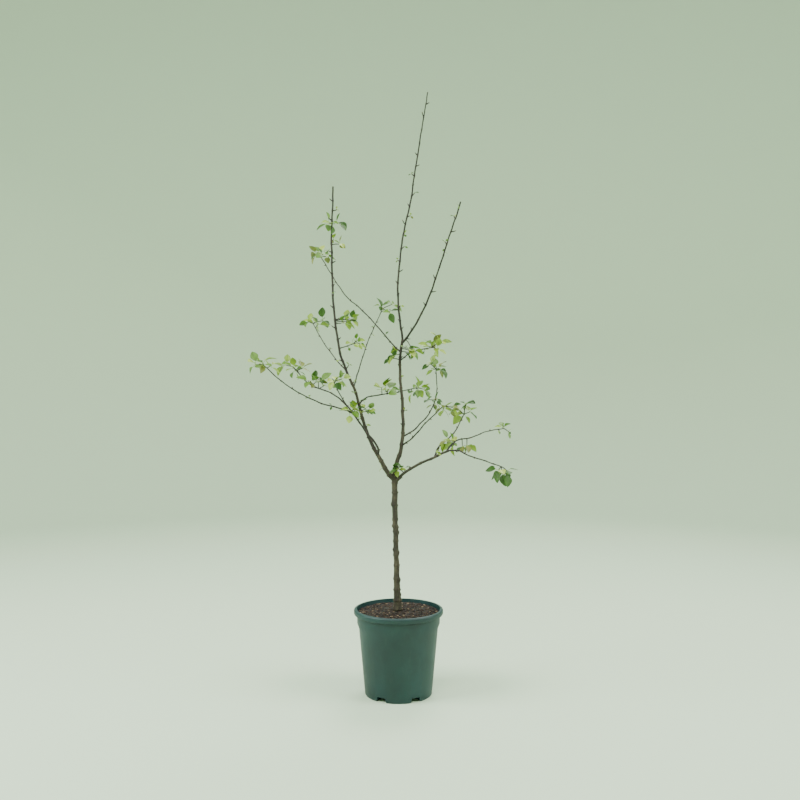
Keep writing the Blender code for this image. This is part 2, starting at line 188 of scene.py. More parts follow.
# Flare of the trunk's foot, and the thickest foot of a limb in radii of its parent
ROOT_FLARE = 0.22
HIDDEN_SHARE = 0.75

# Bark: its dark, middle and light colours and its roughness, and the limbs that have the trunk's
BARKS = {
    "trunk": ((0.010, 0.008, 0.005), (0.030, 0.024, 0.013), (0.082, 0.068, 0.040), 0.80),
    "limb": ((0.006, 0.004, 0.003), (0.016, 0.012, 0.008), (0.042, 0.034, 0.024), 0.75),
}
OLD_WOOD = ("leader_lower", "left_bough_lower", "right_bough")

# Sides of the barked trunk and of a barked limb
TRUNK_SIDES = 24
BARK_SIDES = 12

# Relief of the bark in radii of the limb's foot, its grain for each metre, and its stretch upwards
BARK_RELIEF = 0.06
BARK_GRAIN = 140.0
BARK_DRAW = 3

# Small bends of a shoot: seed, size, pace along the shoot, and ease at each end
WANDER_SEED = 1
WANDER = 0.0014
WANDER_PACE = 38.0
WANDER_EASE = 0.02

# Where the noise of the bends is read: from one limb's row to the next, and its layer
WANDER_ROW = 7.7
WANDER_LAYER = 1.3

# Joints along a shoot, where its buds sit. The first and the next are in spacings.
JOINT_SPACING = 0.027
FIRST_JOINT = (0.6, 1.0)
NEXT_JOINT = (0.7, 1.35)
BARE_TIP = 0.014
JOINT_SWELL = 0.28
JOINT_LENGTH = 0.0022
JOINT_TURN = math.radians(144)
JOINT_TWIST = 0.4

# Knots on the trunk: place and side of each, their turn towards +Y, and their height and width
KNOTS = (
    (0.471, -1), (0.416, -1), (0.358, -1), (0.413, 1),
    (0.398, 1), (0.351, 1), (0.280, 1), (0.245, 1),
)
KNOT_FACING = -0.4
KNOT_HEIGHT = 0.0034
KNOT_WIDTH = 0.0045

# Buds: seat and point are in lengths of the bud, the lean is forward for each step sideways
BUD_SEED = 500
BUD_LENGTH = 0.0052
BUD_WIDTH = 0.0027
BUD_SEAT = 0.25
BUD_POINT = 0.25
BUD_LEAN = 0.9
BUD_SIZES = (0.7, 1.1)
TIP_BUD_SIZE = 0.9
SPUR_BUD_SIZE = 0.7

# Share of a limb's length over which its direction is taken
LOOK_AHEAD = 0.01

# Buds that have opened into a tuft: their share, and the tuft's leaves, longest leaf and seat
OPEN_BUD_SHARE = 0.22
TUFT_LEAVES = 2
TUFT_REACH = 0.010
TUFT_SEAT = 0.4

# Limbs set with short bare spurs
SPURRED = ("leader_upper", "leader_fork_shoot", "left_bough_upper")
STUB_LENGTH = (0.002, 0.008)
STUB_RADIUS = 0.0013
STUB_LEAN = (0.2, 1.0)

# Stems: thickness of the foot in radii of the tip, and how straight they leave and arrive
STEM_TAPER = 1.3
STEM_LEAVING = 0.4
STEM_ARRIVING = 0.3
TWIG_SIDES = 6
TWIG_STEPS = 5
STALK_SIDES = 5
STALK_STEPS = 3

# Spurs with leaves: how many a mass has from a half length up, and where in the mass they end
LEAF_SEED = 41
SPURS_FROM_LENGTH = ((0.026, 4), (0.018, 3), (0.0, 2))
SPUR_SPREAD = 0.45
SPUR_HEIGHTS = (-1.3, 0.6)
SPUR_RISE = 0.3
SPUR_RADIUS = 0.0010
SHORTEST_SPUR = 0.002

# Leaves of a spur: their reach in the mass's least half width, growth, lean, lift and stalks
LEAVES_ON_A_SPUR = (3, 4)
LEAF_REACH = 1.6
LEAF_GROWTH = (0.72, 1.0)
LEAF_LEAN = (0.8, 2.6)
LEAF_LIFT = (-0.5, 0.15)
STALK_LENGTH = (0.2, 0.4)
STALK_RADIUS = 0.00045
SAME_TINT_SHARE = 0.65
GOLDEN_TURN = math.pi * (3 - math.sqrt(5))

# A leaf: length in metres, width in lengths, faces across and along, fold, droop, twist and ripple
LEAF_LENGTH = (0.023, 0.034)
LEAF_WIDTH = 0.74
LEAF_WIDTH_SPREAD = (0.8, 1.1)
LEAF_COLUMNS = 4
LEAF_ROWS = 8
LEAF_FOLD = (0.1, 0.5)
LEAF_DROOP = (0.0, 0.75)
DROOP_DEPTH = 0.5
DROOP_SHORTENING = 0.1
LEAF_TWIST = 0.9
LEAF_RIPPLE = (0.0, 0.05)
RIPPLE_PACE = 40

# Outline of a leaf: the power that moves its widest place, and the power that fills its ends
LEAF_BELLY = 0.85
LEAF_FULLNESS = 0.8

# Least sideways length of a leaf's direction that still gives the leaf a side
STEEP = 0.1

# Leaf tints, from pale young ones to dark ones: base colour, and share of the leaves
TINTS = {
    "pale": ((0.310, 0.410, 0.060), 2),
    "young": ((0.190, 0.300, 0.018), 5),
    "mid": ((0.090, 0.190, 0.012), 4),
    "deep": ((0.035, 0.100, 0.006), 3),
    "olive": ((0.150, 0.175, 0.022), 1),
}

# Sockets of a Mix node that mixes colours, by number because their names repeat
MIX_SHARE = 0
MIX_FIRST = 6
MIX_SECOND = 7
MIX_COLOUR = 2

# The trunk, from its flat cut on the soil to the fork: the points on its centre line and its radii
TRUNK = [
    (-0.002, 0.010, SOIL_LEVEL + GAP),
    (-0.004, 0.010, 0.265),
    (-0.006, 0.009, 0.353),
    (-0.009, 0.007, 0.454),
    (-0.010, 0.006, 0.544),
]
TRUNK_RADII = (0.0100, 0.0076, 0.0065, 0.0064, 0.0072, 0.0072)

# Each limb: parent, share of the parent below it, points on its way, and radii from foot to tip
LIMBS = {
    "leader_lower": (
        "trunk", 1.0,
        [(-0.005, 0.005, 0.570), (0.008, 0.003, 0.617), (0.011, 0.003, 0.667), (0.008, 0.005, 0.743),
         (0.003, 0.008, 0.825), (0.010, 0.006, 0.884)],
        (0.0060, 0.0048, 0.0040, 0.0037, 0.0034, 0.0033),
    ),
    "leader_upper": (
        "leader_lower", 1.0,
        [(0.000, 0.003, 0.962), (-0.001, 0.000, 1.030), (0.010, 0.000, 1.130), (0.030, 0.000, 1.230),
         (0.047, 0.000, 1.342), (0.073, 0.000, 1.501)],
        (0.0028, 0.0023, 0.0021, 0.0018, 0.0013),
    ),
    "leader_fork_shoot": (
        "leader_lower", 0.97,
        [(0.028, -0.008, 0.896), (0.061, -0.030, 0.953), (0.089, -0.058, 1.022), (0.112, -0.080, 1.093),
         (0.148, -0.105, 1.203)],
        (0.0026, 0.0022, 0.0019, 0.0017),
    ),
    "leader_long_shoot": (
        "leader_lower", 0.905,
        [(-0.013, 0.025, 0.870), (-0.054, 0.050, 0.919), (-0.096, 0.070, 0.965), (-0.138, 0.088, 1.003),
         (-0.211, 0.125, 1.118)],
        (0.0019, 0.0015, 0.0013, 0.0011),
    ),
    "leader_top_shoot": (
        "leader_lower", 0.84,
        [(0.020, 0.032, 0.844), (0.040, 0.056, 0.856), (0.088, 0.104, 0.869)],
        (0.0016, 0.0013, 0.0011),
    ),
    "leader_back_shoot": (
        "leader_lower", 0.285,
        [(0.038, 0.030, 0.655), (0.078, 0.080, 0.695), (0.098, 0.116, 0.738), (0.102, 0.150, 0.773),
         (0.101, 0.180, 0.815)],
        (0.0020, 0.0017, 0.0013, 0.0011),
    ),
    "leader_front_shoot": (
        "leader_lower", 0.22,
        [(0.032, -0.030, 0.636), (0.065, -0.080, 0.676), (0.086, -0.108, 0.697), (0.105, -0.132, 0.717)],
        (0.0020, 0.0017, 0.0014, 0.0012),
    ),
    "left_bough_lower": (
        "trunk", 0.965,
        [(-0.024, 0.001, 0.545), (-0.040, -0.004, 0.573), (-0.071, -0.012, 0.631), (-0.091, -0.019, 0.693),
         (-0.107, -0.027, 0.755), (-0.123, -0.029, 0.789)],
        (0.0058, 0.0052, 0.0042, 0.0038, 0.0034, 0.0031),
    ),
    "left_bough_upper": (
        "left_bough_lower", 1.0,
        [(-0.142, -0.032, 0.841), (-0.155, -0.032, 0.915), (-0.163, -0.028, 1.014), (-0.165, -0.030, 1.124),
         (-0.161, -0.036, 1.256)],
        (0.0030, 0.0028, 0.0025, 0.0023, 0.0020),
    ),
    "left_bough_outer_shoot": (
        "left_bough_upper", 0.035,
        [(-0.152, -0.005, 0.827), (-0.194, 0.045, 0.883), (-0.222, 0.082, 0.930)],
        (0.0014, 0.0012, 0.0010),
    ),
    "left_bough_twig": (
        "left_bough_upper", 0.155,
        [(-0.130, -0.028, 0.864), (-0.112, -0.023, 0.870)],
        (0.0012, 0.0010),
    ),
    "left_bough_back_shoot": (
        "left_bough_lower", 0.90,
        [(-0.105, 0.008, 0.790), (-0.094, 0.060, 0.835), (-0.080, 0.110, 0.886), (-0.045, 0.190, 0.978)],
        (0.0017, 0.0014, 0.0012, 0.0010),
    ),
    "left_bough_cross_shoot": (
        "left_bough_lower", 0.735,
        [(-0.091, -0.012, 0.729), (-0.075, 0.003, 0.739), (-0.045, 0.020, 0.745), (-0.015, 0.035, 0.749),
         (0.043, 0.055, 0.762)],
        (0.0018, 0.0014, 0.0012),
    ),
    "left_arm": (
        "left_bough_lower", 0.27,
        [(-0.051, -0.024, 0.614), (-0.079, -0.032, 0.651), (-0.117, -0.032, 0.705), (-0.159, -0.014, 0.744),
         (-0.226, 0.030, 0.772), (-0.269, 0.055, 0.815)],
        (0.0028, 0.0022, 0.0018, 0.0015, 0.0013),
    ),
    "left_arm_low_shoot": (
        "left_arm", 0.375,
        [(-0.132, -0.047, 0.708), (-0.191, -0.095, 0.726), (-0.258, -0.150, 0.765), (-0.309, -0.180, 0.811)],
        (0.0019, 0.0016, 0.0013, 0.0012),
    ),
    "left_arm_short_shoot": (
        "left_arm", 0.445,
        [(-0.141, -0.038, 0.740), (-0.152, -0.050, 0.761), (-0.160, -0.060, 0.783)],
        (0.0013, 0.0011),
    ),
    "right_bough": (
        "trunk", 0.94,
        [(0.012, -0.008, 0.547), (0.035, -0.020, 0.564), (0.064, -0.033, 0.580), (0.093, -0.045, 0.594),
         (0.122, -0.058, 0.608)],
        (0.0042, 0.0034, 0.0030, 0.0027),
    ),
    "right_bough_tip": (
        "right_bough", 1.0,
        [(0.145, -0.070, 0.609), (0.173, -0.085, 0.596), (0.208, -0.100, 0.586), (0.243, -0.120, 0.574)],
        (0.0020, 0.0015, 0.0012),
    ),
    "right_rising_shoot": (
        "right_bough", 0.76,
        [(0.100, -0.020, 0.615), (0.120, 0.005, 0.630), (0.142, 0.030, 0.651), (0.168, 0.060, 0.694)],
        (0.0021, 0.0017, 0.0014, 0.0012),
    ),
    "right_outer_shoot": (
        "right_bough", 0.965,
        [(0.128, -0.050, 0.621), (0.145, -0.035, 0.632), (0.179, -0.015, 0.638), (0.221, 0.010, 0.652),
         (0.266, 0.030, 0.659)],
        (0.0019, 0.0016, 0.0013, 0.0011),
    ),
}

# Radius of the trunk where its knots sit
KNOT_SEAT_RADIUS = TRUNK_RADII[2]


class Value:
    """A socket of a finish, on which Python's + and * add Math nodes."""

    def __init__(self, finish, socket):
        self.finish = finish
        self.socket = socket

    def maths(self, operation, other):
        """A Math node on this value and another."""
        return self.finish.node("ShaderNodeMath", {"operation": operation}, {0: self, 1: other})

    def __add__(self, other):
        return self.maths("ADD", other)

    __radd__ = __add__

    def __mul__(self, other):
        return self.maths("MULTIPLY", other)

    __rmul__ = __mul__

    def between(self, low, high):
        """A value from 0 to 1, spread between two numbers."""
        return self * (high - low) + low


class Finish:
    """A material with one Principled shader."""

    def __init__(self, name):
        self.material = bpy.data.materials.new(name)
        self.material.use_nodes = True
        self.nodes = self.material.node_tree.nodes
        self.links = self.material.node_tree.links
        self.shader = self.nodes["Principled BSDF"]

    def node(self, kind, settings=None, sockets=None, out=0):
        """A node of a kind: its settings are set first, then its sockets' values or links."""
        made = self.nodes.new(kind)
        for name, value in (settings or {}).items():
            if name == "stops":
                set_stops(made.color_ramp.elements, value)
            else:
                setattr(made, name, value)
        for name, value in (sockets or {}).items():
            self.join(made.inputs[name], value)
        return Value(self, made.outputs[out])

    def join(self, socket, value):
        """Sets a socket to a number or colour, or links it to a value."""
        if isinstance(value, Value):
            self.links.new(value.socket, socket)
        else:
            socket.default_value = value

    def place(self, stretch):
        """Object coordinates, stretched."""
        here = self.node("ShaderNodeTexCoord", out="Object")
        return self.node("ShaderNodeMapping", {}, {"Vector": here, "Scale": stretch})

    def noise(self, scale, detail, rough, stretch=(1.0, 1.0, 1.0)):
        """Noise from 0 to 1 over the surface."""
        sockets = {"Vector": self.place(stretch), "Scale": scale, "Detail": detail, "Roughness": rough}
        return self.node("ShaderNodeTexNoise", {}, sockets)

    def spots(self, scale, stretch):
        """Distance to the nearest of the points that are scattered over the surface."""
        return self.node("ShaderNodeTexVoronoi", {}, {"Vector": self.place(stretch), "Scale": scale})

    def ramp(self, value, stops):
        """Colours along a value."""
        return self.node("ShaderNodeValToRGB", {"stops": stops}, {"Fac": value})

    def mix(self, share, first, second):
        """Two colours mixed by a share of the second."""
        sockets = {MIX_SHARE: share, MIX_FIRST: first, MIX_SECOND: second}
        return self.node("ShaderNodeMix", {"data_type": "RGBA"}, sockets, out=MIX_COLOUR)

    def colour(self, value):
        """Sets the base colour."""
        self.join(self.shader.inputs["Base Color"], value)

    def roughness(self, value):
        """Sets the roughness."""
        self.join(self.shader.inputs["Roughness"], value)

    def bump(self, height, distance, strength):
        """Adds fine relief of a height."""
        sockets = {"Height": height, "Distance": distance, "Strength": strength}
        self.join(self.shader.inputs["Normal"], self.node("ShaderNodeBump", {}, sockets))


def set_stops(ramp, stops):
    """Gives a colour ramp its stops."""
    for place, _ in stops[len(ramp):]:
        ramp.new(place)
    for stop, (place, colour) in zip(ramp, stops):
        stop.position = place
        stop.color = (*colour, 1.0)


def grey(level):
    """A grey, for a ramp that makes a mask."""
    return (level, level, level)


def shade(colour, factor):
    """A colour made darker or lighter."""
    return tuple(min(1.0, part * factor) for part in colour)


def pot_plastic():
    """Dark teal moulded plastic, dusty and scuffed in places."""
    finish = Finish("pot_plastic")
    clouds = finish.noise(scale=9.0, detail=6.0, rough=0.6)
    dust = finish.noise(scale=60.0, detail=8.0, rough=0.7, stretch=(1.0, 1.0, 0.35))
    teal = finish.ramp(clouds, [
        (0.30, (0.001, 0.017, 0.019)),
        (0.52, (0.002, 0.028, 0.030)),
        (0.75, (0.005, 0.042, 0.044)),
    ])
    cover = finish.ramp(dust, [(0.52, grey(0.0)), (0.80, grey(0.45))])
    finish.colour(finish.mix(cover, teal, (0.026, 0.058, 0.054, 1.0)))
    finish.roughness(dust.between(0.38, 0.63))
    finish.bump(dust + clouds * 0.5, distance=0.0004, strength=0.35)
    return finish.material


def compost_finish():
    """Dark brown bark compost."""
    finish = Finish("compost")
    grain = finish.noise(scale=260.0, detail=8.0, rough=0.7)
    clods = finish.noise(scale=70.0, detail=4.0, rough=0.6)
    finish.colour(finish.ramp(grain * 0.6 + clods * 0.4, [
        (0.30, (0.005, 0.003, 0.002)),
        (0.50, (0.012, 0.007, 0.004)),
        (0.66, (0.050, 0.028, 0.014)),
        (0.82, (0.140, 0.090, 0.052)),
    ]))
    finish.roughness(0.95)
    finish.bump(grain + clods, distance=0.0012, strength=0.8)
    return finish.material


def chip_finish(name, colour):
    """A chip of bark in the compost."""
    finish = Finish("chip_" + name)
    grain = finish.noise(scale=400.0, detail=4.0, rough=0.6, stretch=(1.0, 1.0, 0.3))
    finish.colour(finish.ramp(grain, [(0.3, shade(colour, 0.45)), (0.7, colour)]))
    finish.roughness(0.85)
    finish.bump(grain, distance=0.0004, strength=0.6)
    return finish.material


def bark_finish(name, dark, middle, light, roughness):
    """Smooth young bark, streaked along the limb, with pale pores."""
    finish = Finish(name)
    streaks = finish.noise(scale=150.0, detail=6.0, rough=0.65, stretch=(1.0, 1.0, 0.25))
    clouds = finish.noise(scale=26.0, detail=4.0, rough=0.55)
    pores = finish.spots(scale=210.0, stretch=(1.0, 1.0, 1.6))
    bark = finish.ramp(streaks * 0.5 + clouds * 0.5, [(0.36, dark), (0.50, middle), (0.66, light)])
    cover = finish.ramp(pores, [(0.12, grey(0.75)), (0.22, grey(0.0))])
    finish.colour(finish.mix(cover, bark, (*shade(light, 1.7), 1.0)))
    finish.roughness(clouds.between(roughness - 0.15, roughness + 0.15))
    finish.bump(streaks + pores * 0.4, distance=0.0005, strength=0.7)
    return finish.material


def leaf_finish(name, colour):
    """A young leaf: one base colour, a little lighter in patches, with a soft sheen."""
    finish = Finish("leaf_" + name)
    patches = finish.noise(scale=90.0, detail=3.0, rough=0.5)
    veins = finish.noise(scale=420.0, detail=2.0, rough=0.4)
    finish.colour(finish.ramp(patches, [(0.35, shade(colour, 0.78)), (0.65, shade(colour, 1.22))]))
    finish.roughness(veins.between(0.38, 0.63))
    finish.bump(veins, distance=0.0004, strength=0.5)
    return finish.material


def bud_finish():
    """Dark red-brown bud scales."""
    finish = Finish("bud_scales")
    scales = finish.noise(scale=600.0, detail=3.0, rough=0.5)
    finish.colour(finish.ramp(scales, [(0.35, (0.022, 0.012, 0.008)), (0.65, (0.085, 0.045, 0.026))]))
    finish.roughness(0.60)
    finish.bump(scales, distance=0.0003, strength=0.6)
    return finish.material


def solid(name, bm):
    """A new object whose mesh is the bmesh."""
    mesh = bpy.data.meshes.new(name)
    bm.to_mesh(mesh)
    bm.free()
    thing = bpy.data.objects.new(name, mesh)
    bpy.context.scene.collection.objects.link(thing)
    return thing


def piece(name, bm, material, slot, *nodes):
    """A finished piece of the tree from a bmesh, which stands for the given nodes."""
    thing = solid(name, bm)
    thing.data.materials.append(material)
    thing.data.shade_smooth()
    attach(thing, "root")
    if nodes:
        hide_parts(*nodes)
    return thing


def carve(thing, *tools):
    """Takes the tools' shapes out of a thing, for good, and removes the tools."""
    for tool in tools:
        boolean = thing.modifiers.new(tool.name, "BOOLEAN")
        boolean.operation = "DIFFERENCE"
        boolean.solver = "EXACT"
        boolean.object = tool
    bpy.context.view_layer.update()
    seen = thing.evaluated_get(bpy.context.evaluated_depsgraph_get())
    thing.data = bpy.data.meshes.new_from_object(seen)
    thing.modifiers.clear()
    for tool in tools:
        bpy.data.objects.remove(tool, do_unlink=True)


def verts_of(geometry):
    """The vertices among what an operator gives back."""
    return [part for part in geometry if isinstance(part, bmesh.types.BMVert)]


def smooth_path(points):
    """Points at about one stretch apart along a smooth curve through the given ones."""
    points = [Vector(point) for point in points]
    ends = [points[0] * 2 - points[1], *points, points[-1] * 2 - points[-2]]
    path = [points[0]]
    for before, start, stop, after in zip(ends, ends[1:], ends[2:], ends[3:]):
        span = (stop - start).length
        lead_in = (stop - before).normalized() * span / 3
        lead_out = (after - start).normalized() * span / 3
        steps = max(1, round(span / STRETCH))
        path += interpolate_bezier(start, start + lead_in, stop - lead_out, stop, steps + 1)[1:]
    return path


def distances(path):
    """How far along the path each of its points lies."""
    far = [0.0]
    for here, there in zip(path, path[1:]):
        far.append(far[-1] + (there - here).length)
    return far


def place_along(path, share):
    """The point at a share of the path's length."""
    far = distances(path)
    goal = share * far[-1]
    for k in range(len(path) - 1):
        if far[k + 1] >= goal:
            return path[k].lerp(path[k + 1], (goal - far[k]) / (far[k + 1] - far[k]))
    return path[-1]


def radius_at(radii, share):
    """Radius at a share of a limb's length, from its evenly spaced radii."""
    place = share * (len(radii) - 1)
    k = min(int(place), len(radii) - 2)
    return radii[k] + (radii[k + 1] - radii[k]) * (place - k)


def girths(path, radii, swell):
    """Radius at each point of the path, with a collar at its foot."""
    far = distances(path)
    return [
        radius_at(radii, along / far[-1]) * (1 + swell * math.exp(-along / COLLAR_LENGTH))
        for along in far
    ]


def ring_frames(path, radii):
    """A matrix for each ring of a tube: its place, its direction and its radius."""
    frames = []
    for k, (point, radius) in enumerate(zip(path, radii)):
        ahead = path[min(k + 1, len(path) - 1)]
        behind = path[max(k - 1, 0)]
        turn = UP.rotation_difference(ahead - behind)
        frames.append(Matrix.LocRotScale(point, turn, Vector((radius, radius, radius))))
    return frames


def tube(frames, sides):
    """Closed tube made by extruding a disc from ring to ring."""
    bm = bmesh.new()
    bmesh.ops.create_circle(bm, cap_ends=True, segments=sides, radius=1.0, matrix=frames[0])
    foot = end = bm.faces[:]
    for here, there in zip(frames, frames[1:]):
        grown = bmesh.ops.extrude_face_region(bm, geom=end)["geom"]
        bmesh.ops.transform(bm, matrix=there @ here.inverted(), verts=verts_of(grown))
        if end is not foot:
            bmesh.ops.delete(bm, geom=end, context="FACES_ONLY")
        end = [part for part in grown if isinstance(part, bmesh.types.BMFace)]
    bmesh.ops.recalc_face_normals(bm, faces=bm.faces)
    return bm


def arc(centre, radius, start, stop, steps):
    """Points on an arc, angles in degrees."""
    angles = [math.radians(start + (stop - start) * k / steps) for k in range(steps + 1)]
    return [
        (centre[0] + radius * math.cos(angle), centre[1] + radius * math.sin(angle))
        for angle in angles
    ]


def wall_radius(height):
    """Outer radius of the pot's tapering wall."""
    return POT_FOOT_RADIUS + WALL_SLOPE * height


def outer_profile():
    """Radius and height up the outside of the pot, from the axis to the axis."""
    lip = arc((LIP_RADIUS - LIP_ROUND, POT_HEIGHT - LIP_ROUND), LIP_ROUND, 0, 90, LIP_STEPS)
    return [
        (0.0, 0.0),
        (POT_FOOT_RADIUS - EDGE_CHAMFER, 0.0),
        (POT_FOOT_RADIUS, EDGE_RISE),
        (wall_radius(COLLAR_FOOT), COLLAR_FOOT),
        (COLLAR_RADIUS, COLLAR_START),
        (COLLAR_TOP_RADIUS, COLLAR_TOP),
        (LIP_RADIUS - EDGE_CHAMFER, LIP_UNDERSIDE),
        (LIP_RADIUS, LIP_UNDERSIDE + EDGE_RISE),
        *lip,
        (0.0, POT_HEIGHT),
    ]


def inner_profile():
    """Radius and height up the inside of the pot and out of its mouth, from the axis to the axis."""
    return [
        (0.0, BASE_THICKNESS),
        (wall_radius(BASE_THICKNESS) - WALL, BASE_THICKNESS),
        (wall_radius(COLLAR_FOOT) - WALL, COLLAR_FOOT),
        (COLLAR_RADIUS - WALL, COLLAR_START),
        (COLLAR_TOP_RADIUS - WALL, COLLAR_TOP),
        (LIP_INNER_RADIUS, POT_HEIGHT - LIP_EDGE_DROP),
        (LIP_INNER_RADIUS, POT_HEIGHT + ABOVE),
        (0.0, POT_HEIGHT + ABOVE),
    ]


def spun(profile, sides):
    """A profile of radius and height, spun once round the axis."""
    bm = bmesh.new()
    verts = [bm.verts.new((radius, 0.0, height)) for radius, height in profile]
    edges = [bm.edges.new(pair) for pair in zip(verts, verts[1:])]
    bmesh.ops.spin(
        bm, geom=verts + edges, axis=UP, cent=(0, 0, 0), angle=math.tau, steps=sides, use_merge=True
    )
    bmesh.ops.remove_doubles(bm, verts=bm.verts, dist=MERGE)
    return bm


def turned(profile):
    """A closed solid of revolution from a profile that starts and ends on the axis."""
    bm = spun(profile, POT_SIDES)
    bmesh.ops.recalc_face_normals(bm, faces=bm.faces)
    return bm


def channel_outline(grow):
    """Half of a drain channel's section, sideways and height: straight above, flared at the feet."""
    half = CHANNEL_WIDTH / 2 + grow
    top = CHANNEL_HEIGHT + grow
    flare = FOOT_CORNER - grow
    foot = arc((half + flare, flare), flare, 270, 180, FOOT_CORNER_STEPS)
    corner = (half - CHANNEL_CORNER, top - CHANNEL_CORNER)
    roof = arc(corner, CHANNEL_CORNER, 0, 90, CHANNEL_CORNER_STEPS)
    return [(foot[0][0], -BELOW), *foot, *roof]


def channel_turns():
    """The turn round the pot of each drain channel."""
    angles = [math.tau * (k + 0.5) / CHANNELS - math.pi / 2 for k in range(CHANNELS)]
    return [Matrix.Rotation(angle, 4, "Z") for angle in angles]


def channels(grow, start, stop):
    """The drain channels as radial prisms, larger all round by grow."""
    half = channel_outline(grow)
    outline = half + [(-side, height) for side, height in reversed(half)]
    bm = bmesh.new()
    for turn in channel_turns():
        verts = [bm.verts.new(turn @ Vector((start, side, height))) for side, height in outline]
        face = bm.faces.new(verts)
        grown = bmesh.ops.extrude_face_region(bm, geom=[face])["geom"]
        bmesh.ops.translate(bm, vec=turn @ Vector((stop - start, 0.0, 0.0)), verts=verts_of(grown))
    bmesh.ops.recalc_face_normals(bm, faces=bm.faces)
    return bm


def drain_holes():
    """A round hole through the roof of each drain channel."""
    bm = bmesh.new()
    for turn in channel_turns():
        place = turn @ Matrix.Translation((DRAIN_PLACE, 0.0, CHANNEL_HEIGHT + WALL / 2))
        bmesh.ops.create_cone(
            bm, cap_ends=True, segments=DRAIN_SIDES, radius1=DRAIN_RADIUS, radius2=DRAIN_RADIUS,
            depth=3 * WALL, matrix=place,
        )
    return bm


def wandered(path, key):
    """The path with the small bends of a real shoot, its two ends kept."""
    far = distances(path)
    bent = []
    for point, along in zip(path, far):
        hold = min(1.0, along / WANDER_EASE, (far[-1] - along) / WANDER_EASE)
        bend = noise.noise_vector(Vector((along * WANDER_PACE, key * WANDER_ROW, WANDER_LAYER)))
        bent.append(point + bend * WANDER * hold)
    return bent


def joints_along(path, key):
    """Where the buds sit: distance along the limb and turn round it."""
    total = distances(path)[-1]
    rng = random.Random(key)
    along = JOINT_SPACING * rng.uniform(*FIRST_JOINT)
    found = []
    while along < total - BARE_TIP:
        found.append((along, len(found) * JOINT_TURN + rng.uniform(-JOINT_TWIST, JOINT_TWIST)))
        along += JOINT_SPACING * rng.uniform(*NEXT_JOINT)
    return found


def bark_grain(place):
    """The bark's relief at a place, from -1 to 1, drawn out upwards."""
    x, y, z = place
    return noise.noise(Vector((x * BARK_GRAIN, y * BARK_GRAIN, z * BARK_GRAIN / BARK_DRAW)))


def barked(path, radii, swell, key, parent_radius, sides):
    """A limb with swollen joints and bark relief, whose foot hides in its parent."""
    thick = girths(path, radii, swell)
    if parent_radius:
        thick[0] = min(thick[0], parent_radius * HIDDEN_SHARE)
    joints = joints_along(path, key)
    for k, along in enumerate(distances(path)):
        lumps = sum(math.exp(-((along - place) / JOINT_LENGTH) ** 2) for place, _ in joints)
        thick[k] *= 1 + JOINT_SWELL * min(1.0, lumps)
    bm = tube(ring_frames(path, thick), sides)
    for vert in bm.verts:
        vert.co += vert.normal * bark_grain(vert.co) * BARK_RELIEF * thick[0]
    return bm


def add_knots(bm, path):
    """Raises the trunk's knots."""
    for height, side in KNOTS:
        middle = min(path, key=lambda point: abs(point.z - height))
        seat = middle + Vector((side, KNOT_FACING, 0.0)).normalized() * KNOT_SEAT_RADIUS
        for vert in bm.verts:
            away = (vert.co - seat).length / KNOT_WIDTH
            vert.co += vert.normal * KNOT_HEIGHT * math.exp(-away ** 2)


def turned_to(direction):
    """The turn that takes +Z to a direction."""
    return UP.rotation_difference(direction)


def square_to(direction, turn):
    """A direction square to the given one, at a turn round it."""
    return turned_to(direction) @ Vector((math.cos(turn), math.sin(turn), 0.0))


def add_bud(bm, place, direction, size):
    """A pointed bud that sits at a place and points along a direction."""
    scale = Vector((BUD_WIDTH, BUD_WIDTH, BUD_LENGTH)) * size
    middle = place + direction * scale.z * BUD_SEAT
    matrix = Matrix.LocRotScale(middle, turned_to(direction), scale / 2)
    made = bmesh.ops.create_icosphere(bm, subdivisions=1, radius=1.0, matrix=matrix)
    tip = max(made["verts"], key=lambda vert: (vert.co - place).dot(direction))
    tip.co += direction * scale.z * BUD_POINT


def add_stem(bm, start, end, rise, radius, sides=TWIG_SIDES, steps=TWIG_STEPS):
    """A thin stem from start to end, which leaves along a direction and tapers to a radius."""
    leaving = start + rise * (end - start).length * STEM_LEAVING
    arriving = end.lerp(start, STEM_ARRIVING)
    points = interpolate_bezier(start, leaving, arriving, end, steps + 1)
    foot = radius * STEM_TAPER
    radii = [foot + (radius - foot) * k / steps for k in range(steps + 1)]
    stem = tube(ring_frames(points, radii), sides)
    held = bpy.data.meshes.new("stem")
    stem.to_mesh(held)
    stem.free()
    bm.from_mesh(held)
    bpy.data.meshes.remove(held)


def leaf_side(direction, rng):
    """The direction across a leaf, twisted round its midrib."""
    side = direction.cross(UP)
    side = side.normalized() if side.length > STEEP else Vector((1.0, 0.0, 0.0))
    twist = Matrix.Rotation(rng.uniform(-LEAF_TWIST, LEAF_TWIST), 3, direction)
    return (twist @ side).normalized()


def leaf_outline(along):
    """Width of a leaf at a share of its length, in its greatest width."""
    if 0 < along < 1:
        return math.sin(math.pi * along ** LEAF_BELLY) ** LEAF_FULLNESS
    return 0.0


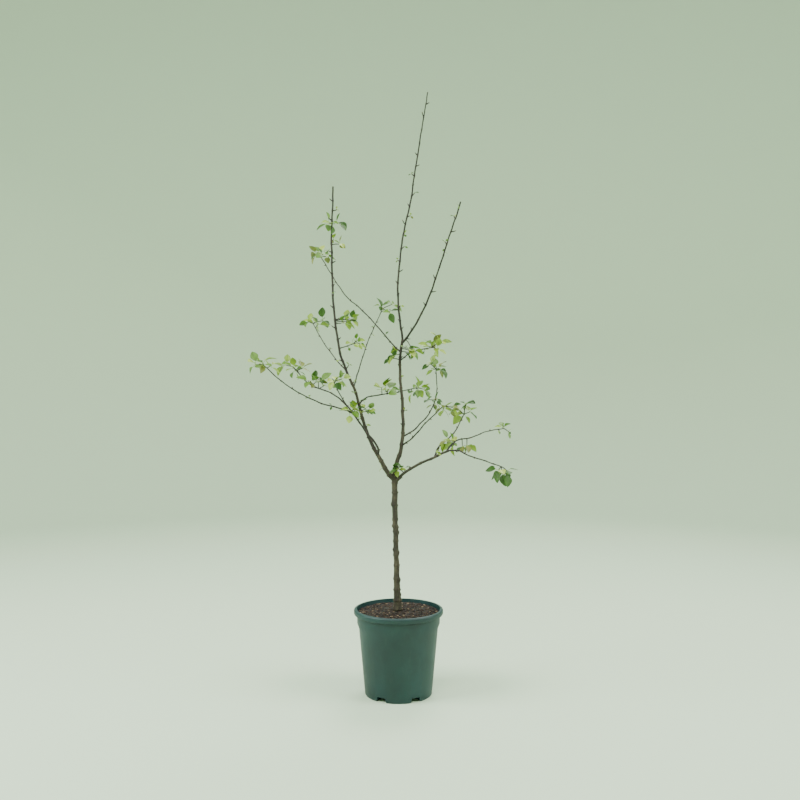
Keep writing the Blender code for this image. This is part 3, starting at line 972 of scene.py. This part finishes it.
def add_leaf(bm, place, direction, length, rng):
    """An oval, pointed leaf, folded along its midrib and bent down to its tip."""
    width = length * LEAF_WIDTH * rng.uniform(*LEAF_WIDTH_SPREAD)
    fold = rng.uniform(*LEAF_FOLD)
    droop = rng.uniform(*LEAF_DROOP)
    ripple = rng.uniform(*LEAF_RIPPLE)
    side = leaf_side(direction, rng)
    face = side.cross(direction).normalized()
    made = bmesh.ops.create_grid(bm, x_segments=LEAF_COLUMNS, y_segments=LEAF_ROWS, size=0.5)
    # The grid is 1 by 1, so that across runs from -1 to 1 and along from 0 to 1
    for vert in made["verts"]:
        across, along = vert.co.x * 2, vert.co.y + 0.5
        half = width / 2 * leaf_outline(along) * (1 + ripple * math.sin(along * RIPPLE_PACE))
        lift = abs(across) * half * fold - droop * length * along ** 2 * DROOP_DEPTH
        ahead = direction * along * length * (1 - DROOP_SHORTENING * droop)
        vert.co = place + ahead + side * across * half + face * lift
    keep_inside(made["verts"], place)
    bmesh.ops.remove_doubles(bm, verts=made["verts"], dist=MERGE)


def keep_inside(verts, place):
    """Shrinks a leaf towards its foot until it lies inside the frame's box."""
    low, high = CAD_BOX
    share = 1.0
    for vert in verts:
        for axis in range(3):
            away = vert.co[axis] - place[axis]
            room = (high[axis] if away > 0 else low[axis]) - place[axis]
            if abs(away) > abs(room):
                share = min(share, abs(room / away))
    for vert in verts:
        vert.co = place + (vert.co - place) * share


def tint(rng):
    """The name of a leaf tint, dealt out by share."""
    return rng.choices(list(TINTS), [share for _, share in TINTS.values()])[0]


def spray(meshes, place, direction, count, reach, rng):
    """A rosette of leaves on short stalks round the end of a spur, each no longer than the reach."""
    name = tint(rng)
    start = rng.uniform(0.0, math.tau)
    for k in range(count):
        across = square_to(direction, start + k * GOLDEN_TURN)
        way = (direction + across * rng.uniform(*LEAF_LEAN)).normalized()
        length = min(rng.uniform(*LEAF_LENGTH), reach) * rng.uniform(*LEAF_GROWTH)
        end = place + way * length * rng.uniform(*STALK_LENGTH)
        own = name if rng.random() < SAME_TINT_SHARE else tint(rng)
        add_stem(meshes["stalks"], place, end, direction, STALK_RADIUS, STALK_SIDES, STALK_STEPS)
        lifted = (way + UP * rng.uniform(*LEAF_LIFT)).normalized()
        add_leaf(meshes[own], end, lifted, length, rng)


def nearest_on_limbs(paths, goal):
    """The nearest point of any limb to a goal."""
    points = (point for path in paths.values() for point in path)
    return min(points, key=lambda point: (point - goal).length)


def leaves_of_mass(meshes, paths, node, rng):
    """Spurs that grow from the limbs into a mass's space, each with its rosette of leaves."""
    low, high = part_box(node)
    middle, half = (low + high) / 2, (high - low) / 2
    spurs = next(count for length, count in SPURS_FROM_LENGTH if max(half) > length)
    start = rng.uniform(0.0, math.tau)
    for k in range(spurs):
        turn = start + k * math.tau / spurs
        offset = Vector((math.cos(turn), math.sin(turn), rng.uniform(*SPUR_HEIGHTS))) * SPUR_SPREAD
        end = middle + offset * half
        foot = nearest_on_limbs(paths, end)
        way = (end - foot).normalized() if (end - foot).length > SHORTEST_SPUR else UP
        way = (way + UP * SPUR_RISE).normalized()
        add_stem(meshes["twigs"], foot, end, way, SPUR_RADIUS)
        add_bud(meshes["buds"], end, way, SPUR_BUD_SIZE)
        spray(meshes, end, way, rng.randint(*LEAVES_ON_A_SPUR), min(half) * LEAF_REACH, rng)


def add_stub(bm, seat, across, ahead, rng):
    """A short bare spur on a limb. Gives back its end."""
    way = (across + ahead * rng.uniform(*STUB_LEAN)).normalized()
    end = seat + way * rng.uniform(*STUB_LENGTH)
    add_stem(bm, seat - across * STUB_RADIUS, end, across, STUB_RADIUS)
    return end


def buds_of_limb(meshes, path, radii, key, spurred):
    """Buds at a limb's joints, some on short spurs and some opened into a small tuft."""
    rng = random.Random(key + BUD_SEED)
    total = distances(path)[-1]
    for along, turn in joints_along(path, key):
        share = along / total
        place = place_along(path, share)
        ahead = (place_along(path, min(1.0, share + LOOK_AHEAD)) - place).normalized()
        across = square_to(ahead, turn)
        way = (ahead * BUD_LEAN + across).normalized()
        seat = place + across * radius_at(radii, share)
        if spurred:
            seat = add_stub(meshes["twigs"], seat, across, ahead, rng)
        add_bud(meshes["buds"], seat, way, rng.uniform(*BUD_SIZES))
        if rng.random() < OPEN_BUD_SHARE:
            spray(meshes, seat + way * BUD_LENGTH * TUFT_SEAT, way, TUFT_LEAVES, TUFT_REACH, rng)


def build_trunk(path, finish):
    """The barked trunk with its knots, its foot flat on the compost."""
    bm = barked(wandered(path, 0), TRUNK_RADII, ROOT_FLARE, 0, None, TRUNK_SIDES)
    add_knots(bm, path)
    for vert in bm.verts:
        vert.co.z = max(vert.co.z, SOIL_LEVEL - 2 * GAP)
    piece("bark_trunk", bm, finish, "trunk_bark", "trunk")


def build_limbs(paths, meshes, finishes):
    """The barked limbs and their buds. Adds the path of each limb to the paths."""
    radii_of = {"trunk": TRUNK_RADII}
    for key, (name, (parent, share, points, radii)) in enumerate(LIMBS.items(), 1):
        path = wandered(smooth_path([place_along(paths[parent], share), *points]), key)
        paths[name] = path
        radii_of[name] = radii
        branches = share < 1.0
        swell = COLLAR_SWELL if branches else 0.0
        around = radius_at(radii_of[parent], share) if branches else None
        finish = finishes["trunk"] if name in OLD_WOOD else finishes["limb"]
        bm = barked(path, radii, swell, key, around, BARK_SIDES)
        piece("bark_" + name, bm, finish, "limb_bark", name)
        buds_of_limb(meshes, path, radii, key, name in SPURRED)
        ahead = (path[-1] - path[-3]).normalized()
        add_bud(meshes["buds"], path[-1] - ahead * BUD_LENGTH, ahead, TIP_BUD_SIZE)


def build_growth(meshes, masses, twig_finish):
    """The twigs, buds, stalks and leaves. The first piece of leaves stands for all the masses."""
    piece("spur_twigs", meshes.pop("twigs"), twig_finish, "limb_bark")
    piece("bud_scales", meshes.pop("buds"), bud_finish(), "limb_bark")
    piece("leaf_stalks", meshes.pop("stalks"), leaf_finish("stalk", TINTS["young"][0]), "young_leaves")
    stood_for = masses
    for name, bm in meshes.items():
        piece("leaf_sprays_" + name, bm, leaf_finish(name, TINTS[name][0]), "young_leaves", *stood_for)
        stood_for = []


def build_tree():
    """Barked trunk and limbs, with buds, spurs and sprays of leaves."""
    finishes = {kind: bark_finish(kind + "_bark", *look) for kind, look in BARKS.items()}
    meshes = {name: bmesh.new() for name in ["twigs", "stalks", "buds", *TINTS]}
    # Without this seed the bends would differ from run to run
    noise.seed_set(WANDER_SEED)
    paths = {"trunk": smooth_path(TRUNK)}
    build_trunk(paths["trunk"], finishes["trunk"])
    build_limbs(paths, meshes, finishes)
    masses = sorted(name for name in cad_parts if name.startswith("leaves_"))
    rng = random.Random(LEAF_SEED)
    for node in masses:
        leaves_of_mass(meshes, paths, node, rng)
    build_growth(meshes, masses, finishes["limb"])


def build_pot():
    """The moulded pot, turned and then carved out, with its drain channels."""
    beyond = LIP_RADIUS + BEYOND
    hollow = solid("hollow", turned(inner_profile()))
    carve(hollow, solid("housings", channels(WALL, CHANNEL_START - WALL, beyond)))
    pot = piece("moulded_pot", turned(outer_profile()), pot_plastic(), "pot_plastic", "pot")
    under = solid("channels", channels(0.0, CHANNEL_START, beyond))
    carve(pot, hollow, under, solid("drain_holes", drain_holes()))
    pot.data.shade_smooth()
    pot.data.set_sharp_from_angle(angle=math.radians(SHARP_ANGLE))


def compost_surface(radius):
    """The compost's rough surface, with a wall down its edge and a flat underside."""
    bm = bmesh.new()
    bmesh.ops.create_circle(bm, cap_ends=True, segments=COMPOST_SIDES, radius=radius)
    for vert in bm.verts:
        vert.co.z = SOIL_EDGE_LEVEL
    face = bm.faces[:]
    ring = radius / (COMPOST_RINGS + COMPOST_MIDDLE)
    for _ in range(COMPOST_RINGS):
        bmesh.ops.inset_region(bm, faces=face, thickness=ring, depth=0.0)
    for vert in bm.verts:
        away = math.hypot(vert.co.x, vert.co.y) / radius
        lumps = noise.fractal(vert.co * COMPOST_GRAIN, *COMPOST_OCTAVES)
        vert.co.z = SOIL_EDGE_LEVEL + COMPOST_RISE * (1 - away) + COMPOST_RELIEF * lumps
    rim = [edge for edge in bm.edges if edge.is_boundary]
    foot = verts_of(bmesh.ops.extrude_edge_only(bm, edges=rim)["geom"])
    bmesh.ops.translate(bm, vec=(0.0, 0.0, -COMPOST_DEPTH), verts=foot)
    bmesh.ops.contextual_create(bm, geom=foot + [edge for edge in bm.edges if edge.is_boundary])
    bmesh.ops.recalc_face_normals(bm, faces=bm.faces)
    return bm


def build_compost():
    """The compost inside the rim, with chips of bark on it."""
    radius = COLLAR_TOP_RADIUS - WALL - 2 * GAP
    piece("compost", compost_surface(radius), compost_finish(), "potting_soil", "soil")
    rng = random.Random(CHIP_SEED)
    for name, (colour, share) in CHIP_KINDS.items():
        bm = bmesh.new()
        for _ in range(round(CHIPS * share)):
            add_chip(bm, radius, rng)
        piece("bark_chips_" + name, bm, chip_finish(name, colour), "potting_soil")


def add_chip(bm, radius, rng):
    """A flat, broken chip of bark that lies on the compost."""
    away = radius * CHIP_FIELD * math.sqrt(rng.random())
    turn = rng.uniform(0.0, math.tau)
    size = rng.uniform(*CHIP_LENGTH)
    shape = (size, size * rng.uniform(*CHIP_BREADTH), size * rng.uniform(*CHIP_THICKNESS), 1.0)
    away = min(away, radius - size * CHIP_CLEARANCE)
    place = Vector((away * math.cos(turn), away * math.sin(turn), SOIL_EDGE_LEVEL + CHIP_LIFT))
    spin = Matrix.Rotation(turn * CHIP_SPIN, 4, "Z")
    tilt = Matrix.Rotation(rng.uniform(-CHIP_TILT, CHIP_TILT), 4, "X")
    matrix = Matrix.Translation(place) @ (spin @ tilt) @ Matrix.Diagonal(shape)
    made = bmesh.ops.create_cube(bm, size=1.0, matrix=matrix)
    for vert in made["verts"]:
        vert.co += Vector([rng.uniform(-CHIP_BREAK, CHIP_BREAK) * size for _ in range(3)])


def build_stage():
    """Seamless pale floor that curves up into a wall all round."""
    curve = arc((FLOOR_RADIUS, FLOOR_CURVE), FLOOR_CURVE, -90, 0, FLOOR_CURVE_STEPS)
    profile = [(0.0, 0.0), *curve, (FLOOR_RADIUS + FLOOR_CURVE, FLOOR_WALL_TOP)]
    floor = solid("studio_floor", spun(profile, FLOOR_SIDES))
    floor.data.shade_smooth()
    finish = Finish("studio_floor")
    finish.colour(FLOOR_COLOUR)
    finish.roughness(FLOOR_ROUGHNESS)
    floor.data.materials.append(finish.material)


def add_light(name, place, power):
    """A soft square light that faces the tree."""
    lamp = bpy.data.lights.new(name, "AREA")
    lamp.size = LIGHT_SIZE
    lamp.energy = power
    light = bpy.data.objects.new(name, lamp)
    light.location = place
    light.rotation_euler = (LIGHT_TARGET - Vector(place)).to_track_quat("-Z", "Y").to_euler()
    bpy.context.scene.collection.objects.link(light)


def build_studio():
    """World light, soft lights and the camera."""
    world = bpy.data.worlds.new("studio")
    world.use_nodes = True
    world.node_tree.nodes["Background"].inputs["Color"].default_value = WORLD_COLOUR
    world.node_tree.nodes["Background"].inputs["Strength"].default_value = WORLD_LIGHT
    bpy.context.scene.world = world
    for name, (place, power) in LIGHTS.items():
        add_light(name, place, power)
    camera = bpy.data.cameras.new("camera")
    camera.sensor_width = SENSOR
    camera.lens = FOCAL_PIXELS / PHOTO_WIDTH * SENSOR
    stand = bpy.data.objects.new("camera", camera)
    stand.location = CAMERA_PLACE
    stand.rotation_euler = CAMERA_TURN
    bpy.context.scene.collection.objects.link(stand)
    bpy.context.scene.camera = stand


build_stage()
build_studio()
build_pot()
build_compost()
build_tree()
